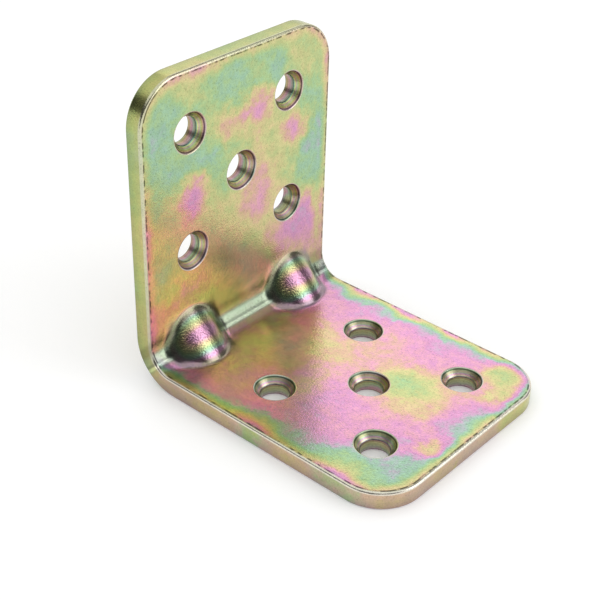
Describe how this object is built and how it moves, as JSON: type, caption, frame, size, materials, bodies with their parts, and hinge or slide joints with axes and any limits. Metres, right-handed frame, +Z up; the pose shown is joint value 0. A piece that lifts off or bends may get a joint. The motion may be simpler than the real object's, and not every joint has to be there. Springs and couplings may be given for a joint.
{
  "type": "reinforced angle bracket",
  "caption": "Equal-leg steel angle bracket with rounded corners, gussets pressed into the bend and countersunk screw holes, for fastening members at a right angle.",
  "frame": {"origin": "middle of the footprint of the base leg, on the face that it rests on", "axes": "+X from the bend out along the base leg, +Y across the width, +Z up along the wall leg"},
  "size_m": [0.05, 0.041, 0.05],
  "materials": {
    "chromated_steel": "satin zinc plate with an iridescent yellow chromate film"
  },
  "bodies": {
    "root": {"angle_bracket": "chromated_steel"}
  },
  "joints": []
}
